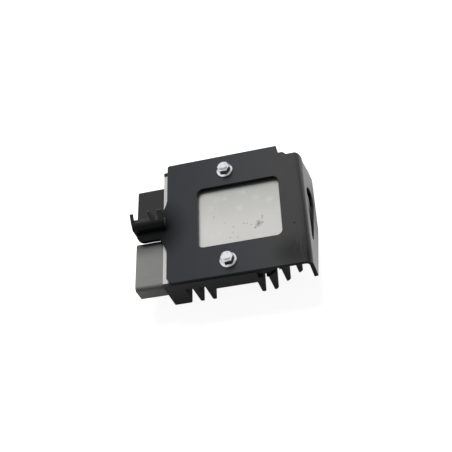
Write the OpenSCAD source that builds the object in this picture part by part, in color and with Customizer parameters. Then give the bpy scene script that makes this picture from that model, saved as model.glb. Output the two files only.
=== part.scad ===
// Voltage regulator rectifier on its mounting bracket.
// A finned die-cast housing holds a circuit board under potting resin. Two sockets leave its
// connector end, and a folded steel bracket is bolted over its open face.
// X runs from the connector end to the bracket's flange, Y along the fins, Z up from the fin tips.
// Places along Y are given from the middle of the bracket's plate.

/* [Casting] */
// Length of the casting, from the connector end to the flange end
cast_l = 105.3; // [98:0.1:112]
// Width of the casting, along the fins
cast_w = 106.3; // [98:0.1:108]
// How far the casting's middle lies off the bracket plate's middle, along Y
cast_shift_y = -2.25; // [-3:0.05:2]
// Thickness of the rim round the resin
rim_t = 2.6; // [2:0.1:4]
// Thickness of the floor between the resin and the fins
base_t = 3.4; // [2.5:0.1:6]
// Length of the slanted cut at the flange-end corners
corner_cut_l = 25; // [12:0.5:30]
// Width of the slanted cut at the flange-end corners
corner_cut_w = 14.6; // [8:0.2:18]
// How far the floor stops short of the fin ends, beyond the ears
end_setback = 2.6; // [1:0.1:4]
// Radius of the upright corners at the connector end
cast_corner_r = 1.2; // [0.6:0.1:2.4]

/* [Connector trough] */
// Length of the deep trough behind the sockets
trough_l = 8.5; // [7:0.1:11]
// Thickness of the wall between the trough and the fins
trough_wall_t = 4; // [3:0.1:6]
// Thickness of the trough's floor
trough_floor_t = 3.5; // [2.5:0.1:5]
// Thickness of the wall that the sockets pass through
end_wall_t = 2.5; // [2:0.1:3.4]
// Thickness of the resin that covers the top of that wall
strip_t = 1.8; // [1.2:0.1:2.4]
// Radius along the trough block's lower edge beside the fins
block_edge_r = 2.4; // [1:0.1:3.4]
// Radius along the trough block's lower edge under the sockets
block_end_r = 0.6; // [0.3:0.1:2]

/* [Fins] */
// Height of the fins
fin_h = 21.5; // [18:0.1:26]
// Distance from fin to fin
fin_pitch = 9.7; // [8.8:0.1:10.4]
// Thickness of a fin at its root
fin_root_t = 4.4; // [3.6:0.1:5]
// Thickness of a fin at its round tip
fin_tip_t = 3.2; // [2.4:0.1:3.6]
// Radius of the fillet at the root of a fin
fin_root_r = 1.4; // [0.6:0.1:1.8]
// Least gap between the trough block and the first fin
fin_gap = 3; // [2:0.1:5]

/* [Ears] */
// Thickness of the solid ears that the bolts clamp
ear_t = 14.6; // [11:0.1:17]
// How far an ear reaches past its bolt towards the middle
ear_margin = 12.3; // [10:0.1:14]

/* [Resin] */
// How far the resin lies below the rim
resin_drop = 0.7; // [0.3:0.05:1.2]
// Depth of resin over the tallest part on the board
resin_cover = 0.5; // [0.3:0.05:1.5]

/* [Circuit board] */
// Thickness of the board
board_t = 1.6; // [1:0.1:2.4]
// Gap between the board and the walls round it
board_gap = 0.8; // [0.4:0.1:1.4]
// Length of a power transistor's body
transistor_l = 9.2; // [7:0.1:12]
// Width of a power transistor's body
transistor_w = 10; // [8:0.1:13]
// Height of a power transistor
transistor_h = 2.3; // [1.8:0.1:3]
// Length of the heat tab beyond a transistor's body
transistor_tab_l = 1.4; // [0.8:0.1:2.2]
// Length of a transistor's leads
transistor_lead_l = 3; // [2:0.1:4]
// Thickness of the tab and the leads
lead_t = 0.5; // [0.3:0.05:0.7]
// Length of the control chip
chip_l = 10.3; // [8:0.1:13]
// Width of the control chip's body
chip_w = 7.5; // [5:0.1:8]
// Height of the control chip
chip_h = 2; // [1.4:0.1:2.3]
// Leads on each side of the control chip
chip_leads = 8; // [4:1:10]
// Length of a ceramic capacitor
capacitor_l = 5.7; // [4:0.1:7]
// Width of a ceramic capacitor
capacitor_w = 5; // [3:0.1:6]
// Height of a ceramic capacitor
capacitor_h = 2.1; // [1.4:0.1:2.3]

/* [Connectors] */
// How far a connector stands out of the casting
connector_l = 22.1; // [18:0.1:26]
// Width of the grey connector
grey_w = 41.9; // [36:0.1:42.4]
// Where the grey connector's middle lies along Y
grey_y = -33.35; // [-33.6:0.05:-31]
// Width of the black connector
black_w = 37.4; // [32:0.1:38]
// Where the black connector's middle lies along Y
black_y = 19.1; // [18.8:0.1:24]
// Height of a connector
connector_h = 16.6; // [15:0.1:23]
// Radius of a connector's long edges
connector_r = 3.5; // [1:0.1:4]
// Thickness of a connector's walls
connector_t = 2.1; // [1.6:0.1:2.3]
// Radius of the long edges inside a socket
socket_r = 0.6; // [0.3:0.1:1.2]
// How far the top of the connectors lies below the resin
connector_drop = 0.1; // [0:0.05:1]
// Thickness of the floor at the back of a socket
socket_floor_t = 3.6; // [2.4:0.1:5]
// How far the neck in the wall is smaller than the connector, each side
neck_inset = 3; // [2.6:0.1:4]
// How far the neck reaches into the trough
neck_l = 1.6; // [1:0.1:2.2]
// Width of the guide ribs inside a socket
rib_w = 2; // [1.2:0.1:3]
// Height of the guide ribs inside a socket
rib_h = 1.3; // [0.8:0.1:2]
// Length of the latch nib under a connector
nib_l = 6; // [4:0.1:8]
// Width of the latch nib under a connector
nib_w = 9; // [6:0.1:12]
// Height of the latch nib under a connector
nib_h = 1.6; // [1:0.1:2]

/* [Terminals] */
// Width of a terminal blade
blade_w = 6.3; // [4.8:0.1:7]
// Thickness of a terminal blade
blade_t = 0.8; // [0.6:0.05:1.2]
// Distance from blade to blade
blade_pitch = 9.4; // [8:0.1:10]
// How far the blade tips lie inside the mouth of the socket
blade_recess = 6; // [4:0.1:9]
// Length of a terminal's foot on the board
blade_foot_l = 4.5; // [3:0.1:6]

/* [Bolts and nuts] */
// Distance between the two bolts
bolt_spacing = 82.8; // [78:0.1:86]
// How far the bolts' middle lies off the casting's middle, along Y
bolt_shift_y = 0.45; // [-0.5:0.05:1]
// Distance of the bolts from the casting's connector end
bolt_inset = 52.1; // [50:0.1:54]
// Diameter of the bolts
bolt_d = 6; // [5:1:6]
// Length of the bolts under the head
bolt_l = 25; // [24:0.5:30]
// Width across the flats of a bolt's head
head_af = 8; // [7:0.1:10]
// Height of a bolt's head
head_h = 6; // [4.5:0.1:7]
// Diameter of the flange on a bolt or nut
flange_d = 13.7; // [12:0.1:14.2]
// Thickness of that flange at its edge
flange_t = 1.1; // [0.8:0.1:1.6]
// Width across the flats of a nut
nut_af = 10; // [9:0.1:10]
// Height of a nut
nut_h = 6; // [4.5:0.1:6]
// Play of a bolt in its holes, on the diameter
bolt_play = 0.6; // [0.3:0.05:1]
// Play of a bolt in its nut, on the diameter
nut_play = 0.1; // [0.05:0.05:0.2]

/* [Bracket plate] */
// Length of the plate, from its connector-end edge to the outside of the flange
plate_l = 109.8; // [106:0.1:116]
// Width of the plate
plate_w = 110; // [107:0.1:116]
// Clear space between the casting's flange end and the inside of the flange
flange_space = 5.2; // [3:0.1:8]
// Thickness of the sheet
sheet_t = 3.2; // [2:0.1:4]
// Inside radius of the fold
bend_r = 2.4; // [1.5:0.1:4]
// Slanted cut at the plate's +Y corner
corner_a = 1.2; // [0.6:0.1:6]
// Slanted cut at the plate's -Y corner
corner_b = 4.5; // [1:0.1:8]
// Length of the plate's notch beside the fold
notch_l = 19.2; // [14:0.1:24]
// Depth of the plate's notch
notch_w = 9.9; // [6:0.1:13]
// Length of the step inside the notch
step_l = 7.5; // [3:0.1:9]
// Height of the step inside the notch
step_w = 2.7; // [1.5:0.1:4]
// Radius of the corner that runs into the fold
bend_corner_r = 5.6; // [4:0.1:8]

/* [Bracket window] */
// Length of the window
window_l = 65.1; // [50:0.1:72]
// Width of the window
window_w = 54.2; // [40:0.1:58]
// Radius of the window's corners
window_r = 4.6; // [2:0.1:9]
// Distance of the window from the plate's connector-end edge
window_inset = 24.9; // [18:0.1:28]
// Where the window's middle lies along Y
window_shift_y = -1.3; // [-3:0.1:2]

/* [Bracket flange] */
// How far the flange leans out from square
flare = 7; // [1:0.1:9]
// Clear height under the flange's lowest corner
foot_gap = 0.6; // [0.3:0.1:3]
// How much shorter the flange is at its notch end
flange_rise_a = 0.8; // [0.5:0.1:8]
// How much shorter the flange is at its tail end
flange_rise_b = 16.4; // [10:0.1:18]
// Where the flange's lowest corner lies along Y
flange_knee_y = -10.5; // [-20:0.5:0]
// How far the tail's lower corner reaches past the plate's edge
tail_reach = 3.9; // [1:0.1:5]
// Radius of the large end of the flange's opening
slot_big_r = 9; // [7:0.1:10]
// Where the large end lies along Y
slot_big_y = 11; // [4:0.1:14]
// Drop of the large end below the plate's face
slot_big_drop = 17.9; // [17:0.1:20]
// Radius of the small end of the flange's opening
slot_small_r = 2.4; // [2:0.1:5]
// Where the small end lies along Y
slot_small_y = -27.2; // [-30:0.1:-20]
// Drop of the small end below the plate's face
slot_small_drop = 12.4; // [11:0.1:15]

/* [Tongue] */
// How far the tongue reaches out of the plate
tongue_l = 24.6; // [21:0.1:26]
// Width of the tongue
tongue_w = 21.7; // [18:0.1:26]
// Where the tongue's middle lies along Y
tongue_shift_y = -3.55; // [-5:0.05:-1]
// Radius of the tongue's free corners
tongue_r = 6.6; // [2:0.1:8]
// Length of the flare at the tongue's root
tongue_flare_l = 5.8; // [3:0.1:8]
// Width that the flare adds on each side
tongue_flare_w = 18.2; // [10:0.1:20]

/* [Wire guide clip] */
// Length of the clip
clip_l = 26.3; // [23:0.1:28]
// How far the clip reaches past the tongue's end
clip_overhang = 2; // [1.4:0.1:2.6]
// Thickness of the clip's walls
clip_t = 2.2; // [1.6:0.1:2.8]
// Width of the clip's seat on the tongue
clip_seat_w = 9.4; // [7:0.1:10]
// Where the clip's face lies off the tongue's middle, along Y
clip_face_y = -2.05; // [-2.8:0.05:-1.2]
// Height of the clip's upright wall
clip_wall_h = 4; // [3.4:0.1:7]
// Reach of the slanted fingers, up and back
finger_reach = 9.3; // [7:0.1:11]
// Height of the slanted web below the gaps between the fingers
finger_web_h = 4.1; // [2:0.1:5]
// Width of the finger at the tongue's end
finger_a_w = 2.6; // [1.6:0.1:3]
// How far that finger leans away from the tongue's end
finger_a_lean = 0.6; // [0.3:0.1:3]
// Width of the pointed middle finger at its root
finger_b_w = 4; // [2.4:0.1:5]
// Width of the middle finger at its tip
finger_b_tip_w = 1.3; // [1:0.1:2.4]
// How far the middle finger leans towards the tongue's end
finger_b_lean = 2.8; // [1:0.1:4]
// Distance of the middle finger's root from the clip's plate end
finger_b_inset = 8.5; // [7.6:0.1:11]
// Width of the finger beside the plate
finger_c_w = 4; // [2.6:0.1:5]
// Thickness of the lip that hooks under the tongue's end
lip_t = 1.6; // [1:0.1:2.2]
// Reach of that lip under the tongue
lip_l = 3; // [2:0.1:4]
// Gap between the lip and the connector beside it
lip_gap = 0.7; // [0.3:0.1:1]
// Diameter of the snap peg under the clip
peg_d = 3.2; // [2.4:0.1:3.6]
// How far the barb of the peg stands out
peg_barb = 0.6; // [0.3:0.05:0.8]
// Length of the peg's barbed head
peg_head_l = 3; // [2:0.1:4]
// Distance of the peg from the clip's plate end
peg_inset = 7; // [5:0.1:9]
// Play of the clip round the tongue
clip_play = 0.15; // [0.05:0.05:0.3]

/* [Hidden] */
$fn = 48;
hex_sides = 6;
ear_spaces = 2;
overcut = 1;
chip_lead_l = 1.2;
chip_lead_share = 0.45;
blade_slot_count = 3;
transistor_columns = 3;
transistor_rows = 2;
head_taper = 0.8;
head_top_share = 0.86;
cone_top_share = 0.9;
bolt_point = 0.8;
blade_tip_share = 1 / 3;
lead_spread_share = 0.25;
nib_place_share = 0.25;
finger_angle = 45;
flare_bite = 0.4;
tail_start = 1;
tail_past = 1.5;
tangent_bite = 0.03;

// Levels from the fin tips up
board_stack = max(transistor_h, chip_h, capacitor_h);
cavity_d = board_t + board_stack + resin_cover + resin_drop;
z_floor = fin_h + base_t;
z_board = z_floor + board_t;
z_rim = z_floor + cavity_d;
z_plate = z_rim + sheet_t;
z_resin = z_rim - resin_drop;
z_strip = z_resin - strip_t;
z_ear = z_rim - ear_t;
z_connector = z_resin - connector_drop - connector_h / 2;
finger_top = z_plate + clip_wall_h + finger_reach;

// Fold and flange, from the fold's axis
bend_out_r = bend_r + sheet_t;
flange_leg = (z_plate - foot_gap - bend_out_r * (1 - sin(flare))) / cos(flare);
flange_reach = bend_out_r * cos(flare) + flange_leg * sin(flare) - bend_out_r;

// Places along X, with the middle of the whole length at zero
plate_inset = cast_l + flange_space + sheet_t - plate_l;
left_reach = max(connector_l, tongue_l - plate_inset + clip_overhang);
right_reach = plate_inset + plate_l + flange_reach;
cast_x0 = (left_reach - right_reach) / 2;
cast_x1 = cast_x0 + cast_l;
trough_x0 = cast_x0 + end_wall_t;
trough_x1 = trough_x0 + trough_l;
block_x1 = trough_x1 + trough_wall_t;
bolt_x = cast_x0 + bolt_inset;
ear_w = 2 * ear_spaces * fin_pitch;
ear_x0 = bolt_x - ear_w / 2;
plate_x0 = cast_x0 + plate_inset;
plate_x1 = plate_x0 + plate_l;
bend_x = plate_x1 - bend_out_r;
bend_z = z_plate - bend_out_r;
tongue_x0 = plate_x0 - tongue_l;
clip_x0 = tongue_x0 - clip_overhang;
clip_x1 = clip_x0 + clip_l;
peg_x = clip_x1 - peg_inset;
mouth_x = cast_x0 - connector_l;

// Places along Y
bolt_mid_y = cast_shift_y + bolt_shift_y;
ear_l = (cast_w - bolt_spacing) / 2 + ear_margin;
inner_w = cast_w - 2 * rim_t;
notch_y = plate_w / 2 - notch_w;
clip_y0 = tongue_shift_y + clip_face_y;
peg_y = clip_y0 + peg_d / 2;
lip_y1 = black_y - black_w / 2 - lip_gap;

// Circuit board: a wide head beside the trough and a narrow tail between the ears
board_x0 = trough_x1 + board_gap;
board_x1 = cast_x1 - rim_t - board_gap;
head_x1 = ear_x0 - board_gap;
head_w = inner_w - 2 * board_gap;
tail_w = cast_w - 2 * ear_l - 2 * board_gap;
transistor_step = (board_x1 - ear_x0) / transistor_columns;

// Fins on each side of the bolt line
fins_left = floor((bolt_x - block_x1 - fin_gap - fin_root_t / 2) / fin_pitch);
fins_right = floor((cast_x1 - fin_root_t / 2 - bolt_x) / fin_pitch);
fin_tip_r = fin_tip_t / 2;

// A box from one corner to the opposite one
module span(low, high) {
    translate(low) cube(high - low);
}

// Rectangle centred on the origin, with round corners
module rounded_rect(size, r) {
    square([size[0] - 2 * r, size[1]], center = true);
    square([size[0], size[1] - 2 * r], center = true);
    for (sx = [-1, 1], sy = [-1, 1])
        translate([sx * (size[0] / 2 - r), sy * (size[1] / 2 - r)]) circle(r);
}

// A section drawn in X and Z, carried along Y from y0 to y1
module along_y(y0, y1) {
    translate([0, y1, 0]) rotate([90, 0, 0]) linear_extrude(y1 - y0) children();
}

// A section drawn in Y and Z, carried along X from x0 to x1
module along_x(x0, x1) {
    translate([x0, 0, 0]) rotate([90, 0, 90]) linear_extrude(x1 - x0) children();
}

// The part moved along Y, so that the middle of its whole width is at zero
module centred() {
    translate([0, tail_reach / 2, 0]) children();
}

// Both ends of the casting, seen from its middle
module at_both_ends() {
    translate([0, cast_shift_y, 0]) children();
    translate([0, cast_shift_y, 0]) mirror([0, 1, 0]) children();
}

// Outline of the fin ends: straight sides and two slanted flange-end corners
module fin_plan() {
    half = cast_w / 2;
    translate([0, cast_shift_y])
        polygon([[cast_x0, -half], [cast_x1 - corner_cut_l, -half], [cast_x1, corner_cut_w - half],
                 [cast_x1, half - corner_cut_w], [cast_x1 - corner_cut_l, half], [cast_x0, half]]);
}

// Outline of the rim, moved in by a margin: set back past the ears, slanted at the flange end
module rim_plan(margin) {
    half = cast_w / 2 - margin;
    back = half - end_setback;
    slope_x = cast_x1 - corner_cut_l;
    translate([0, cast_shift_y])
        polygon([[cast_x0 + margin, -half], [ear_x0 + ear_w - margin, -half],
                 [ear_x0 + ear_w - margin, -back], [slope_x, -back],
                 [cast_x1 - margin, corner_cut_w - half], [cast_x1 - margin, half - corner_cut_w],
                 [slope_x, back], [ear_x0 + ear_w - margin, back],
                 [ear_x0 + ear_w - margin, half], [cast_x0 + margin, half]]);
}

// Outline of one ear, at the end towards -Y
module ear_plan() {
    translate([ear_x0, -cast_w / 2]) square([ear_w, ear_l]);
}

// The hollow that the resin fills, up to a level, with a margin past the connector end
module cavity(top, past) {
    translate([0, 0, z_floor]) linear_extrude(top - z_floor) difference() {
        rim_plan(rim_t);
        for (side = [0, 1])
            translate([0, cast_shift_y]) mirror([0, side]) ear_plan();
    }
    translate([0, cast_shift_y, 0])
        span([cast_x0 - past, -inner_w / 2, z_strip], [trough_x1, inner_w / 2, top]);
    translate([0, cast_shift_y, 0])
        span([trough_x0, -inner_w / 2, trough_floor_t], [trough_x1, inner_w / 2, top]);
}

// Section of one fin, round at its tip, with a fillet on each side of its root
module fin_section() {
    translate([0, fin_tip_r]) circle(fin_tip_r);
    polygon([[-fin_tip_r, fin_tip_r], [fin_tip_r, fin_tip_r],
             [fin_root_t / 2, fin_h], [-fin_root_t / 2, fin_h]]);
    difference() {
        translate([-fin_root_t / 2 - fin_root_r, fin_h - fin_root_r])
            square([fin_root_t + 2 * fin_root_r, fin_root_r]);
        for (side = [-1, 1])
            translate([side * (fin_root_t / 2 + fin_root_r), fin_h - fin_root_r]) circle(fin_root_r);
    }
}

// Section of the deep block behind the sockets, with round lower edges
module block_section() {
    block_l = block_x1 - cast_x0;
    translate([cast_x0, block_edge_r]) square([block_l, z_floor - block_edge_r]);
    translate([cast_x0, block_end_r]) square([block_l - block_edge_r, z_floor - block_end_r]);
    translate([cast_x0 + block_end_r, 0]) square([block_l - block_end_r - block_edge_r, z_floor]);
    translate([cast_x0 + block_end_r, block_end_r]) circle(block_end_r);
    translate([block_x1 - block_edge_r, block_edge_r]) circle(block_edge_r);
}

// Upright corners of the connector end, as the sharp slivers to take off
module corner_sliver() {
    translate([cast_x0, -cast_w / 2, 0]) linear_extrude(z_rim) difference() {
        translate([-overcut, -overcut]) square(cast_corner_r + overcut);
        translate([cast_corner_r, cast_corner_r]) circle(cast_corner_r);
    }
}

// Die-cast aluminium housing: rim, floor, trough block, ears and fins in one piece
module heatsink() {
    y0 = cast_shift_y - cast_w / 2;
    y1 = cast_shift_y + cast_w / 2;
    color("#26272a") difference() {
        union() {
            translate([0, 0, fin_h]) linear_extrude(z_rim - fin_h) rim_plan(0);
            along_y(y0, y1) block_section();
            intersection() {
                for (i = [-fins_left : fins_right])
                    fin_at(i);
                linear_extrude(fin_h) fin_plan();
            }
            at_both_ends() translate([0, 0, z_ear]) linear_extrude(z_rim - z_ear) ear_plan();
        }
        cavity(z_rim + overcut, overcut);
        at_both_ends() corner_sliver();
        neck_space(grey_y, grey_w);
        neck_space(black_y, black_w);
        for (side = [-1, 1])
            bolt_hole(side);
    }
}

// One fin, counted from the bolt line: full length, or stopped at the ears
module fin_at(i) {
    ends = abs(i) < ear_spaces ? cast_w / 2 - ear_l : cast_w / 2;
    translate([bolt_x + i * fin_pitch, 0, 0])
        along_y(cast_shift_y - ends, cast_shift_y + ends) fin_section();
}

// Clearance hole of one bolt, through the plate and its ear
module bolt_hole(side) {
    translate([bolt_x, bolt_mid_y + side * bolt_spacing / 2, z_ear - overcut])
        cylinder(d = bolt_d + bolt_play, h = z_plate - z_ear + 2 * overcut);
}

// Window in the casting's wall, and the neck that fills it
module neck_space(y, w) {
    half_w = w / 2 - neck_inset;
    half_h = connector_h / 2 - neck_inset;
    span([cast_x0 - overcut, y - half_w, z_connector - half_h],
         [trough_x0 + neck_l, y + half_w, z_connector + half_h]);
}

// Potting resin, cast round the board, its parts, the necks and the terminals
module potting_resin() {
    color("#c6c6c0") difference() {
        cavity(z_resin, 0);
        circuit_board();
        for (n = [1 : transistor_columns * transistor_rows])
            power_transistor(n);
        control_chip();
        for (n = [1, 2])
            capacitor(n);
        neck_space(grey_y, grey_w);
        neck_space(black_y, black_w);
        for (y = [grey_y, black_y], n = [1 : blade_slot_count])
            blade_at(y, n);
    }
}

// Circuit board: the wide head takes the terminals, the tail carries the transistors
module circuit_board() {
    color("#2f6b45") translate([0, cast_shift_y, 0]) {
        span([board_x0, -head_w / 2, z_floor], [head_x1, head_w / 2, z_board]);
        span([board_x0, -tail_w / 2, z_floor], [board_x1, tail_w / 2, z_board]);
    }
}

// Power transistor n of the two rows: moulded body, heat tab outwards, leads inwards
module power_transistor(n) {
    column = (n - 1) % transistor_columns;
    row = n > transistor_columns ? 1 : -1;
    color("#1f1f22")
        translate([ear_x0 + (column + 0.5) * transistor_step, cast_shift_y + row * tail_w / 4, z_board])
        mirror([0, row > 0 ? 0 : 1, 0]) {
            half_w = transistor_w / 2;
            half_l = transistor_l / 2;
            span([-half_w, -half_l, 0], [half_w, half_l, transistor_h]);
            span([-half_w, half_l, 0], [half_w, half_l + transistor_tab_l, lead_t]);
            for (side = [-1, 0, 1])
                translate([side * lead_spread_share * transistor_w, 0, 0])
                    span([-lead_t, -half_l - transistor_lead_l, 0], [lead_t, -half_l, lead_t]);
        }
}

// Control chip in the middle of the board's head
module control_chip() {
    lead_step = chip_l / chip_leads;
    lead_w = lead_step * chip_lead_share;
    color("#1f1f22") translate([(board_x0 + head_x1) / 2, cast_shift_y, z_board]) {
        span([-chip_w / 2, -chip_l / 2, 0], [chip_w / 2, chip_l / 2, chip_h]);
        for (i = [0 : chip_leads - 1])
            translate([0, -chip_l / 2 + (i + 0.5) * lead_step, 0])
                span([-chip_w / 2 - chip_lead_l, -lead_w / 2, 0], [chip_w / 2 + chip_lead_l, lead_w / 2, lead_t]);
    }
}

// Ceramic capacitor n, on the board's head beside the chip
module capacitor(n) {
    side = n == 1 ? -1 : 1;
    color("#a8895a")
        translate([head_x1 - capacitor_l, cast_shift_y + side * (tail_w / 2 - capacitor_w), z_board])
        translate([-capacitor_l / 2, -capacitor_w / 2, 0]) cube([capacitor_l, capacitor_w, capacitor_h]);
}

// Moulded connector: socket open to -X, neck in the casting's wall, guide ribs and latch nib
module connector_shell(y, w, ribs) {
    inner = [w - 2 * connector_t, connector_h - 2 * connector_t];
    ceiling = connector_h / 2 - connector_t;
    floor_x = cast_x0 - socket_floor_t;
    difference() {
        union() {
            translate([0, y, z_connector]) {
                along_x(mouth_x, cast_x0) rounded_rect([w, connector_h], connector_r);
                latch_nib();
            }
            intersection() {
                neck_space(y, w);
                span([cast_x0 - overcut / 2, y - w / 2, 0], [trough_x0 + neck_l, y + w / 2, z_rim]);
            }
        }
        translate([0, y, z_connector]) difference() {
            along_x(mouth_x - overcut, floor_x) rounded_rect(inner, socket_r);
            for (rib_y = ribs)
                span([mouth_x + rib_h, rib_y - rib_w / 2, ceiling - rib_h], [floor_x, rib_y + rib_w / 2, ceiling]);
        }
        for (n = [1 : blade_slot_count])
            blade_at(y, n);
    }
}

// Ramp under a connector that a plug's latch snaps over
module latch_nib() {
    nib_x = mouth_x + nib_place_share * connector_l;
    translate([0, 0, -connector_h / 2]) along_y(-nib_w / 2, nib_w / 2)
        polygon([[nib_x, 0], [nib_x + nib_l, 0], [nib_x + nib_l, -nib_h], [nib_x + nib_l / 2, -nib_h]]);
}

// Lower, grey connector, with one guide rib
module grey_connector_shell() {
    color("#84847f") connector_shell(grey_y, grey_w, [0]);
}

// Upper, black connector, with two guide ribs
module black_connector_shell() {
    color("#2b2b2b") connector_shell(black_y, black_w, [-blade_pitch / 2, blade_pitch / 2]);
}

// Stamped terminal n of the connector at y: blade, riser in the trough, foot on the board
module blade_at(y, n) {
    offset_y = (n - (blade_slot_count + 1) / 2) * blade_pitch;
    tip_x = mouth_x + blade_recess;
    riser_x = (trough_x0 + neck_l + trough_x1) / 2;
    foot_x = board_x0 + blade_foot_l;
    low = z_connector - blade_t / 2;
    high_side = low + blade_t;
    high = z_board + blade_t;
    translate([0, y + offset_y, 0]) along_y(-blade_w / 2, blade_w / 2)
        polygon([[tip_x, low + blade_tip_share * blade_t], [tip_x + blade_t, low], [riser_x + blade_t, low],
                 [riser_x + blade_t, z_board], [foot_x, z_board], [foot_x, high], [riser_x, high],
                 [riser_x, high_side], [tip_x + blade_t, high_side],
                 [tip_x, high_side - blade_tip_share * blade_t]]);
}

// Terminals of the two connectors, in tinned copper
module grey_blade(n) {
    color("#c9c3b4") blade_at(grey_y, n);
}

module black_blade(n) {
    color("#c9c3b4") blade_at(black_y, n);
}

// Plan of the plate up to the fold: cut corners, notch with its step, and the flared tongue
module plate_plan() {
    half = plate_w / 2;
    difference() {
        polygon([[plate_x0, corner_b - half], [plate_x0 + corner_b, -half], [bend_x, -half],
                 [bend_x, notch_y], [plate_x1 - notch_l + step_l, notch_y],
                 [plate_x1 - notch_l + step_l - step_w, notch_y + step_w],
                 [plate_x1 - notch_l + step_w / 2, notch_y + step_w],
                 [plate_x1 - notch_l, half], [plate_x0 + corner_a, half], [plate_x0, half - corner_a]]);
        translate([plate_x0 + window_inset + window_l / 2, window_shift_y])
            rounded_rect([window_l, window_w], window_r);
    }
    translate([tongue_x0, tongue_shift_y]) tongue_plan();
}

// Plan of the tongue: round free corners, and a curved flare each side that runs into the plate's edge
module tongue_plan() {
    side_y = tongue_w / 2;
    reach = tongue_flare_l + flare_bite;
    flare_r = (reach * reach + tongue_flare_w * tongue_flare_w) / (2 * reach);
    translate([0, tongue_r - side_y]) square([tongue_l + overcut, tongue_w - 2 * tongue_r]);
    translate([tongue_r, -side_y]) square([tongue_l - tongue_r + overcut, tongue_w]);
    for (side = [0, 1]) mirror([0, side]) {
        translate([tongue_r, side_y - tongue_r]) circle(tongue_r);
        difference() {
            translate([tongue_l - tongue_flare_l - overcut, 0])
                square([tongue_flare_l + 2 * overcut, side_y + tongue_flare_w]);
            translate([tongue_l + flare_bite - flare_r, side_y + tongue_flare_w]) circle(flare_r);
        }
    }
}

// Quarter round of one face of the sheet, and that face's side of the leaning flange
module fold_shape(r, leg) {
    circle(r);
    rotate(flare) translate([0, -leg]) square([r, leg]);
}

// Section of the fold and the leaning flange below it
module fold_section() {
    leg = flange_leg + overcut;
    far = 2 * leg;
    translate([bend_x, bend_z]) intersection() {
        difference() {
            fold_shape(bend_out_r, leg);
            fold_shape(bend_r, leg + overcut);
        }
        polygon([[0, 0], [0, far], [far, far], [far, -far], [far * sin(flare), -far * cos(flare)]]);
    }
}

// What is cut from the flange, in its own plane: along Y, and down from the end of the fold
module flange_cuts() {
    tail_y = -plate_w / 2 - tail_reach;
    far_y = tail_y - tail_reach;
    top_y = notch_y - bend_corner_r;
    slot_base = bend_out_r * (1 - sin(flare));
    big = [slot_big_y, slot_base - slot_big_drop];
    small = [slot_small_y, slot_base - slot_small_drop];
    past = flange_leg + 2 * overcut;
    tail_slope = flange_rise_b / (flange_knee_y - tail_y);
    polygon([[far_y, flange_rise_b - flange_leg + tail_slope * tail_reach],
             [flange_knee_y, -flange_leg], [top_y, flange_rise_a - flange_leg], [top_y, 0],
             [notch_y + overcut, 0], [notch_y + overcut, -past], [far_y, -past]]);
    teardrop_slot(big, slot_big_r, small, slot_small_r);
}

// Tail of the flange past the plate's edge: a wedge of the same sheet that starts below the fold
module flange_tail() {
    half = plate_w / 2;
    root_y = overcut - half;
    far_y = -half - tail_past * tail_reach;
    drop = flange_leg - flange_rise_b - tail_start;
    past = tail_start + tail_past * drop;
    slant = tail_reach / drop;
    intersection() {
        along_y(far_y - overcut, root_y) translate([bend_x, bend_z]) rotate(flare)
            translate([bend_r, -past]) square([sheet_t, past]);
        translate([bend_x, 0, bend_z]) rotate([0, -flare, 0]) along_x(bend_r - overcut, bend_out_r + overcut)
            polygon([[root_y, overcut / slant - tail_start], [far_y, -past], [root_y, -past]]);
    }
}

// Two circles joined by straight sides that lie close to their outer tangents
module teardrop_slot(a, ra, b, rb) {
    way = b - a;
    turn = atan2(way[1], way[0]);
    lean = acos((ra - rb) / norm(way));
    wide = ra - tangent_bite;
    narrow = rb - tangent_bite;
    translate(a) circle(ra);
    translate(b) circle(rb);
    polygon([for (side = [1, -1]) a + wide * [cos(turn + side * lean), sin(turn + side * lean)],
             for (side = [-1, 1]) b + narrow * [cos(turn + side * lean), sin(turn + side * lean)]]);
}

// Rounded end of the fold beside the notch, as the piece to take off
module fold_corner() {
    corner_x = plate_x1 - bend_corner_r;
    corner_y = notch_y - bend_corner_r;
    translate([0, 0, bend_z - overcut]) linear_extrude(bend_out_r + 2 * overcut) difference() {
        translate([corner_x, corner_y]) square(bend_corner_r + 2 * overcut);
        translate([corner_x, corner_y]) circle(bend_corner_r);
    }
}

// Folded steel bracket: plate with window and tongue, fold, and leaning flange
module bracket() {
    color("#3b3c40") difference() {
        union() {
            translate([0, 0, z_rim]) linear_extrude(sheet_t) plate_plan();
            along_y(-plate_w / 2, notch_y) fold_section();
            flange_tail();
        }
        translate([bend_x, 0, bend_z]) rotate([0, -flare, 0])
            along_x(bend_r - overcut, bend_out_r + overcut) flange_cuts();
        fold_corner();
        for (side = [-1, 1])
            bolt_hole(side);
        translate([peg_x, peg_y, z_rim - overcut])
            cylinder(d = peg_d + 2 * clip_play, h = sheet_t + 2 * overcut);
    }
}

// Hexagonal head with a flange, seated at zero: across flats, height and a cut corner at its end
module flanged_hex(af, height) {
    corner_d = af / cos(180 / hex_sides);
    intersection() {
        rotate(180 / hex_sides) cylinder(d = corner_d, h = height, $fn = hex_sides);
        union() {
            cylinder(d = corner_d, h = height - head_taper);
            translate([0, 0, height - head_taper]) cylinder(d1 = corner_d, d2 = af * head_top_share, h = head_taper);
        }
    }
    cylinder(d = flange_d, h = flange_t);
    translate([0, 0, flange_t]) cylinder(d1 = flange_d, d2 = af * cone_top_share, h = flange_t);
}

// Hex flange bolts through the plate and the ears
module flange_bolts() {
    color("#c8c9cb") for (side = [-1, 1])
        translate([bolt_x, bolt_mid_y + side * bolt_spacing / 2, z_plate]) {
            flanged_hex(head_af, head_h);
            translate([0, 0, bolt_point - bolt_l]) cylinder(d = bolt_d, h = bolt_l - bolt_point);
            translate([0, 0, -bolt_l]) cylinder(d1 = bolt_d - 2 * bolt_point, d2 = bolt_d, h = bolt_point);
        }
}

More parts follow.
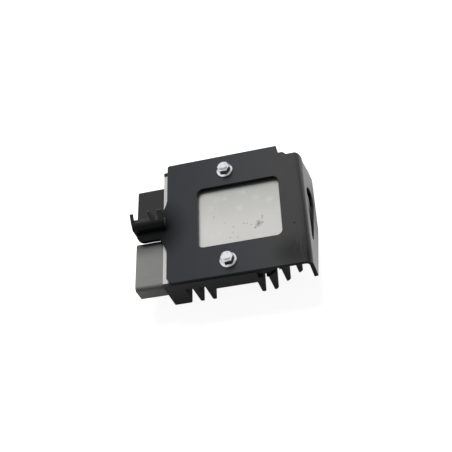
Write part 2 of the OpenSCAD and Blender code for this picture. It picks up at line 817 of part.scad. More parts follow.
// Flange nuts on the fin side of the ears
module flange_nuts() {
    color("#c8c9cb") for (side = [-1, 1])
        translate([bolt_x, bolt_mid_y + side * bolt_spacing / 2, z_ear]) difference() {
            mirror([0, 0, 1]) flanged_hex(nut_af, nut_h);
            translate([0, 0, -nut_h - overcut]) cylinder(d = bolt_d + nut_play, h = nut_h + 2 * overcut);
        }
}

// Section of the clip's wall and its fingers, which lean back over the tongue
module clip_wall_section() {
    knee = z_plate + clip_wall_h;
    tip_y = clip_y0 + finger_reach;
    polygon([[clip_y0, z_plate], [clip_y0, knee], [tip_y, finger_top],
             [tip_y + clip_t * sin(finger_angle), finger_top - clip_t * cos(finger_angle)],
             [clip_y0 + clip_t, knee - clip_t * tan(finger_angle / 2)], [clip_y0 + clip_t, z_plate]]);
}

// Gaps round the three fingers, seen along Y
module finger_gaps() {
    web = z_plate + clip_wall_h + finger_web_h;
    top = finger_top + overcut;
    root = clip_x1 - finger_b_inset;
    tip = root - finger_b_lean;
    end_tip = clip_x0 + finger_a_lean;
    polygon([[clip_x0, web], [end_tip, finger_top], [end_tip, top],
             [clip_x0 - overcut, top], [clip_x0 - overcut, web]]);
    polygon([[clip_x0 + finger_a_w, web], [root - finger_b_w / 2, web],
             [tip - finger_b_tip_w / 2, finger_top], [tip - finger_b_tip_w / 2, top],
             [end_tip + finger_a_w, top], [end_tip + finger_a_w, finger_top]]);
    polygon([[root + finger_b_w / 2, web], [clip_x1 - finger_c_w, web], [clip_x1 - finger_c_w, top],
             [tip + finger_b_tip_w / 2, top], [tip + finger_b_tip_w / 2, finger_top]]);
}

// Barbed peg that snaps through the tongue
module snap_peg() {
    neck = sheet_t + clip_play;
    translate([0, 0, -neck]) cylinder(d = peg_d, h = neck);
    translate([0, 0, -neck - peg_head_l])
        cylinder(d1 = peg_d / 2, d2 = peg_d + 2 * peg_barb, h = peg_head_l);
}

// Moulded wire guide on the tongue: seat, wall, three fingers, hook round the end, snap peg
module wire_guide_clip() {
    lip_top = z_rim - clip_play;
    color("#19191b") {
        difference() {
            along_x(clip_x0, clip_x1) clip_wall_section();
            along_y(clip_y0 - overcut, clip_y0 + finger_reach + 2 * clip_t) finger_gaps();
        }
        span([clip_x0, clip_y0, z_plate], [clip_x1, clip_y0 + clip_seat_w, z_plate + clip_t]);
        span([clip_x0, clip_y0, lip_top - lip_t], [tongue_x0 - clip_play, lip_y1, z_plate + clip_t]);
        span([clip_x0, clip_y0, lip_top - lip_t], [tongue_x0 + lip_l, lip_y1, lip_top]);
        translate([peg_x, peg_y, z_plate]) snap_peg();
    }
}

centred() heatsink();
centred() potting_resin();
centred() circuit_board();
centred() power_transistor(1);  // power_transistor_1
centred() power_transistor(2);  // power_transistor_2
centred() power_transistor(3);  // power_transistor_3
centred() power_transistor(4);  // power_transistor_4
centred() power_transistor(5);  // power_transistor_5
centred() power_transistor(6);  // power_transistor_6
centred() control_chip();
centred() capacitor(1);  // capacitor_1
centred() capacitor(2);  // capacitor_2
centred() grey_connector_shell();
centred() grey_blade(1);  // grey_blade_1
centred() grey_blade(2);  // grey_blade_2
centred() grey_blade(3);  // grey_blade_3
centred() black_connector_shell();
centred() black_blade(1);  // black_blade_1
centred() black_blade(2);  // black_blade_2
centred() black_blade(3);  // black_blade_3
centred() bracket();
centred() flange_bolts();
centred() flange_nuts();
centred() wire_guide_clip();
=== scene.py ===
import math

import bpy
import numpy as np
from mathutils import Matrix, Vector


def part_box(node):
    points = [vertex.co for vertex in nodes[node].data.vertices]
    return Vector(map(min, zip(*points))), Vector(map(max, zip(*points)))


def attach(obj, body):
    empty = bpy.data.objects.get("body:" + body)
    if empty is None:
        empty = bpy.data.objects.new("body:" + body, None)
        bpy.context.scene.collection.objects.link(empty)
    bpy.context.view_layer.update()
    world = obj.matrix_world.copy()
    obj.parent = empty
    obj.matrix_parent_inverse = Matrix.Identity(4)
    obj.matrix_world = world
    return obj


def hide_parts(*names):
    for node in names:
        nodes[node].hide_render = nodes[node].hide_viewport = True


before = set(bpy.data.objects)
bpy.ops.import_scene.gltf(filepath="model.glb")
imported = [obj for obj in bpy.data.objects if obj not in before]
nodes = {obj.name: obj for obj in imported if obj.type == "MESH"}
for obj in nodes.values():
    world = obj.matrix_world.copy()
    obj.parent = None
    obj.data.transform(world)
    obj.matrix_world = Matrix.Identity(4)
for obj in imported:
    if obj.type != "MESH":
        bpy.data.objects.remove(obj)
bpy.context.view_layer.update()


# Finned housing: one aluminium die casting under a thin black coat.
# The coat is satin with a fine cast grain, and rubbed along its edges.

mm = 0.001


class Wire:
    """One socket of a node tree. Sums, products and powers of wires add their Math nodes."""

    def __init__(self, tree, socket):
        self.tree = tree
        self.socket = socket

    def maths(self, operation, first, second):
        return self.tree.add("Math", {"operation": operation}, {0: first, 1: second})

    def __add__(self, other):
        return self.maths("ADD", self, other)

    def __radd__(self, other):
        return self.maths("ADD", other, self)

    def __sub__(self, other):
        return self.maths("SUBTRACT", self, other)

    def __rsub__(self, other):
        return self.maths("SUBTRACT", other, self)

    def __mul__(self, other):
        return self.maths("MULTIPLY", self, other)

    def __rmul__(self, other):
        return self.maths("MULTIPLY", other, self)

    def __pow__(self, other):
        return self.maths("POWER", self, other)

    def __or__(self, other):
        return self.maths("MAXIMUM", self, other)


class Tree:
    """A node tree wired by expressions. add() makes any node from its type, settings and sockets."""

    def __init__(self, tree):
        self.tree = tree
        tree.nodes.clear()

    def add(self, kind, settings=None, sockets=None, out=0):
        node = self.tree.nodes.new("ShaderNode" + kind)
        for name, value in (settings or {}).items():
            setattr(node, name, value)
        for name, value in (sockets or {}).items():
            self.join(node.inputs[name], value)
        return Wire(self, node.outputs[out]) if node.outputs else None

    def join(self, socket, value):
        if isinstance(value, Wire):
            self.tree.links.new(value.socket, socket)
        else:
            socket.default_value = value

    def between(self, low, high, value):
        """0 below low, 1 above high, and a smooth rise between them."""
        settings = {"interpolation_type": "SMOOTHSTEP"}
        return self.add("MapRange", settings, {"Value": value, "From Min": low, "From Max": high})

    def band(self, low, full_from, full_to, high, value):
        """1 between full_from and full_to, and a smooth fall to 0 at low and at high."""
        return self.between(low, full_from, value) * (1 - self.between(full_to, high, value))

    def blend(self, share, first, second):
        """A colour that goes from the first to the second as share goes from 0 to 1."""
        return self.add("Mix", {"data_type": "RGBA"}, {0: share, 6: first, 7: second}, out=2)


class Finish(Tree):
    """A material that ends in one Principled shader, with patterns on the object's own coordinates."""

    def __init__(self, name, **fixed):
        self.material = bpy.data.materials.new(name)
        self.material.use_nodes = True
        super().__init__(self.material.node_tree)
        self.end = self.tree.nodes.new("ShaderNodeOutputMaterial").inputs["Surface"]
        self.shader = self.tree.nodes.new("ShaderNodeBsdfPrincipled")
        self.join(self.end, Wire(self, self.shader.outputs[0]))
        self.place = self.add("TexCoord", out="Object")
        self.set(**fixed)

    def set(self, shader=None, **values):
        """Sets or links the shader's sockets, each named in lower case with underscores."""
        for name, value in values.items():
            inputs = (shader or self.shader).inputs
            self.join(next(s for s in inputs if s.name.lower().replace(" ", "_") == name), value)

    def darken_dull(self, share):
        """Lays a dull black layer over the finish where share is 1, for grime and for painted shade."""
        grime_and_shade = self.tree.nodes.new("ShaderNodeBsdfPrincipled")
        self.set(grime_and_shade, base_color=(0.006, 0.0065, 0.0065, 1.0), roughness=0.7, specular_ior_level=0.05)
        clean = Wire(self, self.shader.outputs[0])
        darkened = Wire(self, grime_and_shade.outputs[0])
        self.join(self.end, self.add("MixShader", None, {0: share, 1: clean, 2: darkened}))

    def noise(self, size, detail=3.0, roughness=0.55, stretch=(1.0, 1.0, 1.0)):
        """Noise from 0 to 1 with features of about the given size, in metres, drawn out by stretch."""
        scale = [1.0 / part for part in stretch]
        place = self.add("Mapping", None, {"Vector": self.place, "Scale": scale})
        return self.add("TexNoise", None, {"Vector": place, "Scale": 1.0 / size, "Detail": detail,
                                           "Roughness": roughness})

    def edge(self, radius):
        """1 on outer and inner edges of that radius, 0 on flats: how far a rounded normal turns away."""
        true = self.add("NewGeometry", out="Normal")
        round_normal = self.add("Bevel", {"samples": 6}, {"Radius": radius})
        both = {0: true, 1: round_normal}
        along = self.add("VectorMath", {"operation": "DOT_PRODUCT"}, both, out="Value")
        return self.between(0.02, 0.3, 1.0 - along)

    def along(self, axis):
        """The object's own coordinate along X, Y or Z, in metres."""
        return self.add("SeparateXYZ", None, {0: self.place}, out=axis)

    def facing_y(self):
        """How far the true surface looks along Y: 1 to the back, -1 to the front."""
        return self.add("SeparateXYZ", None, {0: self.add("NewGeometry", out="Normal")}, out="Y")

    def spot(self, centre, radius, soft=0.6, ragged=0.0):
        """1 inside a ball about a point, falling to 0 at radius, with an outline torn by fine noise."""
        away = self.add("VectorMath", {"operation": "DISTANCE"}, {0: self.place, 1: centre}, out="Value")
        if ragged:
            away = away + (self.noise(0.9 * mm, detail=3.0) - 0.5) * (2.0 * ragged * radius)
        return 1.0 - self.between(radius * (1.0 - soft), radius, away)

    def bump(self, height, depth, edge_radius=0.0):
        """Normal of a surface raised by height, from 0 to 1, times depth in metres, with eased edges."""
        sockets = {"Height": height, "Distance": depth, "Strength": 1.0}
        if edge_radius:
            sockets["Normal"] = self.add("Bevel", {"samples": 6}, {"Radius": edge_radius})
        self.set(normal=self.add("Bump", None, sockets))


def soften(node, width):
    """Gives a sharp CAD solid small round edges: flat faces are joined, then each edge is bevelled."""
    piece = nodes[node]
    weld = piece.modifiers.new("join_triangles", "WELD")
    weld.merge_threshold = 0.002 * mm
    flat = piece.modifiers.new("join_flats", "DECIMATE")
    flat.decimate_type = "DISSOLVE"
    flat.angle_limit = math.radians(0.5)
    edge = piece.modifiers.new("round_edges", "BEVEL")
    edge.width = width
    edge.segments = 2
    edge.limit_method = "ANGLE"
    edge.angle_limit = math.radians(30.0)
    edge.use_clamp_overlap = False
    edge.harden_normals = True


def wear(node, material):
    """Puts one material on every slot of a CAD node."""
    piece = nodes[node]
    piece.data.materials.clear()
    piece.data.materials.append(material)


def black_coated_casting():
    """Black coat over cast grain: broad mottling in colour and gloss, worn edges slightly paler."""
    coat = Finish("black_coated_casting", specular_ior_level=0.3)
    broad = coat.noise(14 * mm)
    grain = coat.noise(0.7 * mm, detail=4.0)
    edges = coat.edge(0.7 * mm) * coat.between(0.35, 0.7, coat.noise(2.5 * mm))
    tone = coat.blend(broad, (0.016, 0.016, 0.0165, 1.0), (0.027, 0.027, 0.0275, 1.0))
    coat.set(base_color=coat.blend(edges * 0.6, tone, (0.06, 0.06, 0.062, 1.0)),
             roughness=0.5 + 0.16 * grain + 0.08 * broad)
    coat.bump(grain * 0.7 + broad * 0.3, 0.05 * mm, edge_radius=0.4 * mm)
    return coat.material


wear("heatsink", black_coated_casting())


# Potting resin: poured level into the casting round the board, then cured to a dull pale grey.
# It is mottled, and has pits, a smear and handling marks where the bracket's window leaves it open.

plate_half_width = 55 * mm
plate_middle_from_end = 58.8 * mm
window_edge_inset = 29.2 * mm
plate_middle = Vector((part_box("heatsink")[0].x + plate_middle_from_end,
                       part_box("bracket")[1].y - plate_half_width,
                       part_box("bracket")[1].z))
resin_middle = Vector((plate_middle.x, plate_middle.y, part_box("potting_resin")[1].z))

# Marks on the resin, each with x and y from its middle and a radius, in mm.
dark_specks = [(-17.8, -0.3, 0.9), (-9.5, -7.6, 0.7), (-2.7, -12.2, 0.9), (-3.0, -17.4, 0.8),
               (-5.5, -21.5, 0.9), (0.4, -22.0, 0.8), (20.1, -6.4, 1.0), (5.6, -10.8, 1.0),
               (8.0, -11.3, 0.8), (11.2, -13.0, 0.8)]
smudge = [(14.3, -16.2, 1.6), (16.2, -14.4, 2.8), (17.2, -13.2, 3.4), (17.0, -11.6, 2.4),
          (19.8, -12.6, 1.6), (20.4, -7.4, 1.2), (19.9, -8.8, 1.0)]
pale_blots = [(-14.5, 15.3, 3.6), (15.5, 10.7, 4.0), (2.6, 4.4, 4.6), (-13.4, -15.8, 4.2),
              (6.0, 18.5, 3.4), (-8.6, 14.6, 3.2), (-20.5, 8.0, 3.4), (27.0, 7.0, 4.4)]


def cast_resin():
    """Pale resin: cloudy colour, painted lighter to the front, pits, torn pale blots, dark specks, a
    smudge, a painted far-edge shadow.
    """
    resin = Finish("cast_resin", specular_ior_level=0.4)

    def marks(places, soft, ragged):
        """The strongest of a group of round marks, given in mm from the middle of the resin."""
        total = 0.0 * resin.along("Z")
        for x, y, radius in places:
            total = total | resin.spot(resin_middle + Vector((x, y, 0)) * mm, radius * mm, soft, ragged)
        return total

    cloud = resin.noise(16 * mm, detail=4.0)
    fine = resin.noise(1.3 * mm, detail=4.0)
    pits = resin.between(0.66, 0.74, resin.noise(1.1 * mm, detail=2.0))
    # Painted light: the colour grows lighter towards the front, where more light falls.
    front = resin.between(-20 * mm, 20 * mm, plate_middle.y - resin.along("Y"))
    tone = resin.blend(front * 0.8 + cloud * 0.4 - 0.1, (0.51, 0.515, 0.485, 1.0), (0.7, 0.69, 0.675, 1.0))
    tone = resin.blend(fine * 0.3, tone, (0.55, 0.54, 0.51, 1.0))
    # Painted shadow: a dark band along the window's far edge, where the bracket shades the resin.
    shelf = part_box("bracket")[1].y - window_edge_inset
    inside = resin.between(-45 * mm, -36 * mm, resin.along("X") - plate_middle.x)
    painted_shadow = resin.between(shelf - 2.6 * mm, shelf, resin.along("Y")) * inside
    tone = resin.blend(painted_shadow * 0.9, tone, (0.1, 0.1, 0.095, 1.0))
    torn = resin.between(0.34, 0.62, resin.noise(3.2 * mm, detail=5.0, roughness=0.65))
    tone = resin.blend(marks(pale_blots, 1.0, 0.5) * torn * 0.42, tone, (0.76, 0.76, 0.74, 1.0))
    tone = resin.blend(pits * 0.3, tone, (0.25, 0.24, 0.22, 1.0))
    tone = resin.blend(marks(dark_specks, 0.8, 0.35) * 0.55, tone, (0.16, 0.15, 0.135, 1.0))
    broken = resin.between(0.3, 0.56, resin.noise(1.2 * mm, detail=4.0, roughness=0.7))
    smeared = marks(smudge, 1.0, 0.3) * broken
    resin.set(base_color=resin.blend(smeared * 0.75, tone, (0.08, 0.08, 0.068, 1.0)),
              roughness=0.42 + 0.2 * fine)
    resin.bump(cloud * 0.7 + fine * 0.3 - pits * 0.3, 0.12 * mm)
    return resin.material


wear("potting_resin", cast_resin())


# Circuit board, its transistors, chip and capacitors: buried in the resin, soldered face to face.
# Green laminate, black moulded bodies and tan ceramic, each with the faint grain of its kind.

def moulded_grain(name, low, high, rough, size):
    """A plain moulded or pressed material: its colour wanders between two tones over a fine grain."""
    body = Finish(name)
    grain = body.noise(size, detail=4.0)
    body.set(base_color=body.blend(grain, low, high), roughness=rough + 0.15 * grain)
    body.bump(grain, 0.02 * mm)
    return body.material


laminate = moulded_grain("green_laminate", (0.02, 0.1, 0.04, 1), (0.03, 0.15, 0.06, 1), 0.4, 0.9 * mm)
wear("circuit_board", laminate)
chip_plastic = moulded_grain("chip_plastic", (0.012, 0.012, 0.013, 1), (0.02, 0.02, 0.021, 1),
                             0.5, 0.3 * mm)
ceramic = moulded_grain("tan_ceramic", (0.33, 0.2, 0.08, 1), (0.42, 0.27, 0.12, 1), 0.35, 0.4 * mm)
for name in nodes:
    if name.startswith(("power_transistor", "control_chip")):
        wear(name, chip_plastic)
    if name.startswith("capacitor"):
        wear(name, ceramic)


# Socket housings: two nylon mouldings, one grey and one black, whose necks sit in the casting's wall.
# A fine spark-eroded texture covers them, with slight flow marks along the draw.

def moulded_nylon(name, low, high, rough, shine, shadowed_end=None, shaded_below=None):
    """Textured nylon: fine grain, faint streaks along the draw, painted shadow at one end of Y, painted
    shade on low front faces.
    """
    nylon = Finish(name, specular_ior_level=shine)
    grain = nylon.noise(0.35 * mm, detail=3.0)
    flow = nylon.noise(5 * mm, detail=3.0, stretch=(4.0, 1.0, 1.0))
    edges = nylon.edge(0.6 * mm)
    tone = nylon.blend(flow, low, high)
    pale = tuple(1.35 * part for part in high[:3]) + (1.0,)
    tone = nylon.blend(edges * 0.35, tone, pale)
    if shadowed_end is not None:
        # Painted shadow: darker towards the end of Y that lies under the bracket's tongue and wire guide.
        painted_shadow = nylon.between(shadowed_end - 17 * mm, shadowed_end + 5 * mm, nylon.along("Y"))
        tone = nylon.blend(painted_shadow * (0.85 + 0.3 * flow), tone, (0.03, 0.03, 0.03, 1.0))
    nylon.set(base_color=tone, roughness=rough + 0.16 * grain)
    nylon.bump(grain * 0.8 + flow * 0.2, 0.03 * mm)
    if shaded_below is not None:
        # Painted shade: front faces below a height are darkened, as faces turned away from the light are.
        front = nylon.between(0.1, 0.5, 0.0 - nylon.facing_y())
        foot = front * (1.0 - nylon.between(shaded_below - 3 * mm, shaded_below, nylon.along("Z")))
        nylon.darken_dull(foot * (0.65 + 0.3 * flow))
    return nylon.material


# The grey housing has a painted shadow at its back end, under the tongue and the wire guide.
grey_nylon = moulded_nylon("grey_nylon", (0.235, 0.235, 0.224, 1), (0.265, 0.265, 0.254, 1), 0.5, 0.25,
                           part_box("grey_connector_shell")[1].y)
black_nylon = moulded_nylon("black_nylon", (0.024, 0.024, 0.024, 1), (0.03, 0.03, 0.03, 1), 0.5, 0.25)
for name, material in (("grey_connector_shell", grey_nylon), ("black_connector_shell", black_nylon)):
    wear(name, material)
    soften(name, 0.4 * mm)


# Terminals: stamped copper blades with a tin plate, pressed into the housings.
# The plate is soft and silvery, with drawn scratches along the blade.

def tin_plate():
    """Tinned metal: streaks along X change its gloss, and a little copper warms its colour."""
    tin = Finish("tin_plate", metallic=1.0)
    drawn = tin.noise(0.3 * mm, stretch=(20.0, 1.0, 1.0))
    tin.set(base_color=tin.blend(drawn, (0.6, 0.56, 0.48, 1.0), (0.72, 0.69, 0.63, 1.0)),
            roughness=0.25 + 0.2 * drawn)
    tin.bump(drawn, 0.01 * mm)
    return tin.material


tinned = tin_plate()
for name in nodes:
    if "_blade_" in name:
        wear(name, tinned)


# Bracket: a steel blank with window and tongue, folded once and painted satin black.
# The paint has a fine orange peel, a painted reflection tint from bluish at the tongue's end to greyer at
# the flange, and is rubbed along its round edges.
# Painted shade darkens its faces turned to front and back and the paint round the wire guide; a darker
# patch lies at the near corner.

guide_low, guide_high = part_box("wire_guide_clip")
guide_foot = Vector(((guide_low.x + guide_high.x) / 2, guide_low.y, plate_middle.z))
scuffed_at = plate_middle + Vector((50, -40, 0)) * mm
dark_patch_at = plate_middle + Vector((42, -45, 0)) * mm
dented_at = plate_middle + Vector((44.6, -20.4, 0)) * mm


def satin_black_paint():
    """Black paint: orange peel, cloudy gloss, a painted reflection tint along X, scuffs, a dent, a dark
    patch and painted shade.
    """
    paint = Finish("satin_black_paint", specular_ior_level=0.5)
    cloud = paint.noise(22 * mm, detail=4.0)
    peel = paint.noise(1.1 * mm, detail=1.0)
    scratches = paint.between(0.62, 0.72, paint.noise(0.5 * mm, detail=3.0, stretch=(1.0, 14.0, 1.0)))
    # Painted reflection: the colour goes from bluish at the tongue's end to greyer towards the flange, as
    # satin paint mirrors its surround.
    towards_flange = paint.between(plate_middle.x - 60 * mm, plate_middle.x + 50 * mm, paint.along("X"))
    edges = paint.edge(0.7 * mm) * paint.between(0.4, 0.65, paint.noise(3 * mm))
    streaks = paint.between(0.5, 0.68, paint.noise(0.9 * mm, detail=3.0, stretch=(1.0, 22.0, 1.0)))
    scuffs = paint.spot(scuffed_at, 11 * mm, soft=0.8) * streaks
    folded = paint.between(plate_middle.x + 57 * mm, plate_middle.x + 61 * mm, paint.along("X"))
    bluish, greyish = (0.003, 0.005, 0.0095, 1.0), (0.018, 0.021, 0.026, 1.0)
    tone = paint.blend(towards_flange * (0.6 + 0.8 * cloud), bluish, greyish)
    tone = paint.blend(towards_flange ** 3.0, tone, (0.022, 0.022, 0.0225, 1.0))
    tone = paint.blend(towards_flange * scratches * 0.3, tone, (0.06, 0.058, 0.054, 1.0))
    tone = paint.blend(scuffs * 0.5, tone, (0.1, 0.099, 0.095, 1.0))
    paint.set(base_color=paint.blend(edges * 0.2, tone, (0.06, 0.06, 0.06, 1.0)),
              roughness=0.27 + 0.08 * cloud + 0.03 * peel - 0.17 * folded)
    paint.bump(peel, 0.004 * mm)
    # A darker patch at the near corner, mottled by the cloud.
    dark_patch = paint.spot(dark_patch_at, 20 * mm, soft=0.9) * (0.2 + 0.6 * cloud) * (1.0 - scuffs)
    dent = paint.spot(dented_at, 1.2 * mm, soft=0.8, ragged=0.2) * 0.7
    # Painted shade: faces turned to front and back, and the paint round the wire guide's foot, are
    # darkened.
    across = paint.facing_y()
    shade_on_y_faces = paint.between(0.5, 0.9, across * across) * 0.75
    shade_round_guide = paint.spot(guide_foot, 36 * mm, soft=0.75) * (0.8 + 0.2 * cloud)
    paint.darken_dull(shade_round_guide | dark_patch | dent | shade_on_y_faces)
    return paint.material


wear("bracket", satin_black_paint())
soften("bracket", 0.4 * mm)


# Bolts and nuts: cold-formed hex flange screws with dished heads, rolled thread and bright zinc plate.
# They clamp the bracket on the casting's ears, and plain flange nuts close them from below.

sector = np.radians([-28.2, -19.0, -9.5, 0.0, 9.5, 19.0, 28.2, 30.0])
round_angles = (np.radians(60.0) * np.arange(6)[:, None] + sector).ravel()
corner_share = np.tile(np.where(sector > np.radians(29), 0.9895, 1.0), 6)


def hexagon(across):
    """Distance from axis to side at each angle: half the width over the cosine from the flat's middle."""
    flat = np.radians(60.0) * np.round(round_angles / np.radians(60.0) - 1e-6)
    return corner_share * across / 2 / np.cos(round_angles - flat)


def rings(pairs):
    """Radius and height pairs, each one number or one value an angle, as an array of rings."""
    whole = np.ones_like(round_angles)
    return np.array([[radius * whole, height * whole] for radius, height in pairs])


def eased(profile, radius):
    """Each inner corner of a profile becomes three rings on a small curve that starts radius away."""
    before, corner, after = profile[:-2], profile[1:-1], profile[2:]

    def part_way(other):
        reach = np.hypot(*np.moveaxis(other - corner, 1, 0))[:, None]
        return corner + (other - corner) * np.minimum(radius / reach, 0.45)

    first, last = part_way(before), part_way(after)
    middle = (first + 2 * corner + last) / 4
    inner = np.stack((first, middle, last), axis=1).reshape(-1, *profile.shape[1:])
    return np.concatenate((profile[:1], inner, profile[-1:]))


def turned_pair(name, profile, places, turns, closed):
    """Rings round upright axes, one set at each place and turn: quads between rings, fans at open ends."""
    count, around = profile.shape[0], profile.shape[2]
    ring = np.arange(count if closed else count - 1)[:, None]
    step = np.arange(around)[None, :]
    ahead, above = (step + 1) % around, (ring + 1) % count
    corners = (ring * around + step, ring * around + ahead, above * around + ahead, above * around + step)
    quads = np.stack(np.broadcast_arrays(*corners), axis=-1).reshape(-1, 4)
    low_pole, high_pole = count * around, count * around + 1
    low_fan = np.stack(np.broadcast_arrays(low_pole, ahead[0], step[0]), axis=-1)
    last = (count - 1) * around
    high_fan = np.stack(np.broadcast_arrays(high_pole, last + step[0], last + ahead[0]), axis=-1)
    radius, height = profile[:, 0], profile[:, 1]
    points, faces = [], []
    for place, turn in zip(places, turns):
        angle = round_angles + turn
        across = np.stack((radius * np.cos(angle), radius * np.sin(angle), height), axis=-1)
        first = sum(len(group) for group in points)
        poles = [] if closed else [[0, 0, height[0].mean()], [0, 0, height[-1].mean()]]
        local = np.concatenate((across.reshape(-1, 3), np.reshape(poles, (-1, 3))))
        points.append(local * mm + np.array(place))
        faces += (quads + first).tolist()
        if not closed:
            faces += (low_fan + first).tolist() + (high_fan + first).tolist()
    mesh = bpy.data.meshes.new(name)
    mesh.from_pydata(np.concatenate(points).tolist(), [], faces)
    mesh.shade_smooth()
    piece = bpy.data.objects.new(name, mesh)
    bpy.context.scene.collection.objects.link(piece)
    crisp = piece.modifiers.new("flat_faces", "WEIGHTED_NORMAL")
    crisp.weight = 80
    return piece


def zinc_plate(shaded_sides):
    """Bright zinc: silvery, with a fine crystalline mottling, a slight cool cast, light grime and painted
    shade on chosen sides.
    """
    zinc = Finish("zinc_plate", metallic=1.0)
    mottle = zinc.noise(1.6 * mm, detail=4.0)
    grime_and_shade = 0.25 * zinc.between(0.45, 0.65, zinc.noise(3 * mm, detail=3.0))
    for side in shaded_sides:
        grime_and_shade = grime_and_shade | zinc.spot(Vector(side), 6.5 * mm, soft=0.55) * (0.6 + 0.6 * mottle)
    tone = zinc.blend(mottle, (0.7, 0.71, 0.73, 1.0), (0.8, 0.81, 0.82, 1.0))
    zinc.set(base_color=zinc.blend(grime_and_shade, tone, (0.3, 0.3, 0.29, 1.0)),
             roughness=0.09 + 0.05 * mottle + 0.08 * grime_and_shade)
    zinc.bump(mottle, 0.003 * mm)
    return zinc.material


# Sizes of the turned profiles are in mm. Heights count from the plate's top, or from the nut's seat.
flange_trim = 0.35
bolt_low, bolt_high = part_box("flange_bolts")
nut_low, nut_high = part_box("flange_nuts")
cad_flange = (bolt_high.x - bolt_low.x) / 2 / mm
flange_radius = cad_flange - flange_trim
head_height = (bolt_high.z - plate_middle.z) / mm
shank_length = (plate_middle.z - bolt_low.z) / mm
nut_height = (nut_high.z - nut_low.z) / mm
bolt_x = (bolt_low.x + bolt_high.x) / 2
bolt_y = (bolt_low.y + cad_flange * mm, bolt_high.y - cad_flange * mm)

edge_ease = 0.22
flange_edge = 1.0
flange_slope = 0.22
chamfer_slope = 1.2

shank_radius = 3.0
thread_start = 0.9
thread_end = 9.0
thread_runout = 1.5
thread_depth = 0.6
thread_z = np.arange(thread_start, thread_end, 0.05)[:, None] - shank_length
fading = np.clip((thread_end - shank_length - thread_z) / thread_runout, 0, 1)
thread_r = shank_radius - thread_depth / 2 * fading * (1 - np.cos(2 * np.pi * thread_z - round_angles))
thread = np.stack((thread_r, np.broadcast_to(thread_z, thread_r.shape)), axis=1)

head_across = 8.9
crown_radius = 4.25
rim_radius = 3.95
dish = [(3.3, 0.18), (2.2, 0.48), (0.9, 0.8)]
head_turns = np.radians((37.0, 24.0))
head_hex = hexagon(head_across)
head_cone = flange_edge + flange_slope * (flange_radius - head_hex)
head_chamfer = head_height - (head_hex - crown_radius) / chamfer_slope
bolt_tip = rings([(1.4, -shank_length), (2.15, -shank_length), (2.4, 0.85 - shank_length)])
bolt_head = rings([(shank_radius, -3.0), (shank_radius, 0.0),
                   (flange_radius, 0.0), (flange_radius, flange_edge),
                   (head_hex + 0.1, head_cone), (head_hex, head_chamfer),
                   (crown_radius, head_height), (rim_radius, head_height)]
                  + [(radius, head_height - depth) for radius, depth in dish])
bolts = turned_pair("flange_bolt_pair", np.concatenate((bolt_tip, thread, eased(bolt_head, edge_ease))),
                    [(bolt_x, y, plate_middle.z) for y in bolt_y], head_turns, closed=False)

nut_across = 10.0
nut_bore = 3.05
nut_crown = 4.4
nut_turns = np.radians((9.0, 51.0))
nut_hex = hexagon(nut_across)
nut_cone = -1.1 - 1.1 * (flange_radius - nut_hex) / (flange_radius - 4.5)
nut_chamfer = (nut_hex - nut_crown) / 1.475 - nut_height
nut_profile = rings([(nut_bore, 0.5 - nut_height), (3.45, -nut_height), (nut_crown, -nut_height),
                     (nut_hex, nut_chamfer), (nut_hex, nut_cone),
                     (flange_radius, -flange_edge), (flange_radius, 0.0), (3.4, 0.0), (nut_bore, -0.4)])
nuts = turned_pair("flange_nut_pair", eased(nut_profile, edge_ease),
                   [(bolt_x, y, nut_high.z) for y in bolt_y], nut_turns, closed=True)
# Painted shade: the zinc is dull and dark by each head's front right side.
zinc = zinc_plate([(bolt_x + 4.5 * mm, y - 6 * mm, plate_middle.z + 0.5 * mm) for y in bolt_y])
for piece, node in ((bolts, "flange_bolts"), (nuts, "flange_nuts")):
    piece.data.materials.append(zinc)
    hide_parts(node)
    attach(piece, "root")


# Wire guide: one black polyamide moulding that hooks round the tongue's end and snaps in with a peg.
# Its front is darkened up to the fingers: painted shade on the faces turned away from the light.

black_polyamide = moulded_nylon("black_polyamide", (0.018, 0.018, 0.018, 1), (0.026, 0.026, 0.026, 1),
                                0.52, 0.5, shaded_below=plate_middle.z + 8.5 * mm)
wear("wire_guide_clip", black_polyamide)
soften("wire_guide_clip", 0.35 * mm)


# Stage: a pale floor under the fin tips, a white surround, and a high and a low soft light from behind.
# The floor shows white and keeps a soft shadow, but gloss sees less of its white, save painted light beside
# the flange.
# Dark cards and glowing grey cards, which only gloss sees, paint dark and grey reflections on the edges of
# bright metal and paint.

def ray(tree, kind):
    """1 where the light path is of that kind, and 0 elsewhere."""
    return tree.add("LightPath", out=f"Is {kind} Ray")


world = bpy.data.worlds.new("white_surround")
bpy.context.scene.world = world
world.use_nodes = True
sky = Tree(world.node_tree)
ambient = 0.1
seen = ray(sky, "Camera") | ray(sky, "Glossy") | ray(sky, "Transmission")
surround = sky.add("Background", None, {"Color": (1, 1, 1, 1), "Strength": ambient + (1 - ambient) * seen})
sky.add("OutputWorld", None, {"Surface": surround})
world.cycles.sampling_method = "NONE"


def stage_sheet(name, corners, material):
    """One flat sheet from four corners, which belongs to the stage."""
    mesh = bpy.data.meshes.new(name)
    mesh.from_pydata(corners, [], [(0, 1, 2, 3)])
    mesh.materials.append(material)
    sheet = bpy.data.objects.new(name, mesh)
    bpy.context.scene.collection.objects.link(sheet)
    return sheet


pale = Finish("pale_floor", roughness=0.9, specular_ior_level=0.0, emission_strength=1.0)
seen = ray(pale, "Camera") | ray(pale, "Transmission")
glossy = ray(pale, "Glossy")
floor_x = pale.along("X")
floor_y = pale.along("Y")
# Painted shadow: the floor's glow is taken out where it shows through the flange's opening.
shadow_behind_opening = (pale.band(50 * mm, 58 * mm, 66 * mm, 69.5 * mm, floor_x)
                  * pale.band(-14 * mm, -3 * mm, 50 * mm, 56 * mm, floor_y))
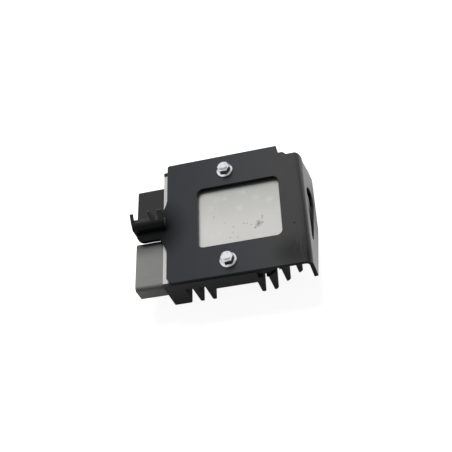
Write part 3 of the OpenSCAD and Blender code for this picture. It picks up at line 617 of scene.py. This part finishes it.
# Painted reflection: beside the flange the floor glows brighter to gloss alone.
glow_beside_flange = (pale.band(69.5 * mm, 73 * mm, 78 * mm, 96 * mm, floor_x)
                 * (1 - pale.between(-30 * mm, 35 * mm, floor_y)))
floor_white = 0.91
gloss_white = 0.2
shown = (seen * floor_white | glossy * (gloss_white + 0.65 * glow_beside_flange)) * (1 - shadow_behind_opening)
pale.set(base_color=pale.blend(glossy, (0.5, 0.5, 0.5, 1.0), (0.95, 0.95, 0.95, 1.0)),
         emission_color=pale.blend(shown, (0.0, 0.0, 0.0, 1.0), (1.0, 1.0, 1.0, 1.0)))
pale.material.cycles.emission_sampling = "NONE"
stage_sheet("floor", [(-3, -3, 0), (3, -3, 0), (3, 3, 0), (-3, 3, 0)], pale.material)

velvet = Finish("dark_velvet", base_color=(0.01, 0.01, 0.01, 1.0), roughness=1.0, specular_ior_level=0.0)
# Painted reflection: the grey cards glow with their own light, which only gloss sees.
glowing_card = Finish("grey_felt", base_color=(0, 0, 0, 1), specular_ior_level=0.0, emission_strength=1.0)
glowing_card.set(emission_color=glowing_card.blend(glowing_card.noise(0.2), (0.42, 0.42, 0.42, 1.0), (0.5, 0.5, 0.5, 1.0)))
glowing_card.material.cycles.emission_sampling = "NONE"
cards = (("front_card", velvet, [(-0.6, -0.8, 0), (0.6, -0.8, 0), (0.6, -0.85, 1.2), (-0.6, -0.85, 1.2)]),
         ("side_card", velvet, [(0.9, -0.3, 0.2), (0.9, 0.2, 0.2), (0.95, 0.2, 1.05), (0.95, -0.3, 1.05)]),
         ("back_card", glowing_card, [(-1.6, 1.5, 0), (1.6, 1.5, 0), (1.6, 1.5, 1.15), (-1.6, 1.5, 1.15)]),
         ("corner_card", glowing_card, [(1.3, 0.4, 0), (1.3, 1.5, 0), (1.3, 1.5, 0.95), (1.3, 0.4, 0.95)]))
for name, cloth, corners in cards:
    card = stage_sheet(name, corners, cloth.material)
    card.visible_camera = False
    card.visible_diffuse = False
    card.visible_shadow = False


def soft_light(name, place, aim, size, power):
    """A square area light at a place, turned towards the aim. Gloss shows the white surround instead."""
    lamp = bpy.data.lights.new(name, "AREA")
    lamp.size = size
    lamp.energy = power
    light = bpy.data.objects.new(name, lamp)
    light.location = place
    light.rotation_euler = (Vector(aim) - Vector(place)).to_track_quat("-Z", "Y").to_euler()
    light.visible_glossy = False
    bpy.context.scene.collection.objects.link(light)


lamp_distance = 1.3
key_at = plate_middle + Vector((-0.15, 0.64, 0.76)) * lamp_distance
window_at = plate_middle + Vector((-0.1, 0.93, 0.36)) * lamp_distance
soft_light("key", key_at, plate_middle, size=0.6, power=15.5)
soft_light("low_window", window_at, plate_middle, size=0.8, power=9.5)


# Camera: where the photographer stood, above the front edge and turned about the line of sight.
# Its place, aim, roll and lens come from a fit to the photo's straight edges and bolt outlines.

camera_at = plate_middle + Vector((105.1, -328.1, 464.8)) * mm
camera_aim = plate_middle + Vector((-7.5, -13.03, 0.0)) * mm
camera_roll = math.radians(-26.05)
lens = bpy.data.cameras.new("camera")
lens.sensor_width = 36.0
lens.lens = 60.196
camera = bpy.data.objects.new("camera", lens)
level = (camera_aim - camera_at).to_track_quat("-Z", "Y").to_matrix().to_4x4()
camera.matrix_world = Matrix.Translation(camera_at) @ level @ Matrix.Rotation(camera_roll, 4, "Z")
bpy.context.scene.collection.objects.link(camera)
bpy.context.scene.camera = camera
bpy.context.scene.view_settings.view_transform = "Standard"
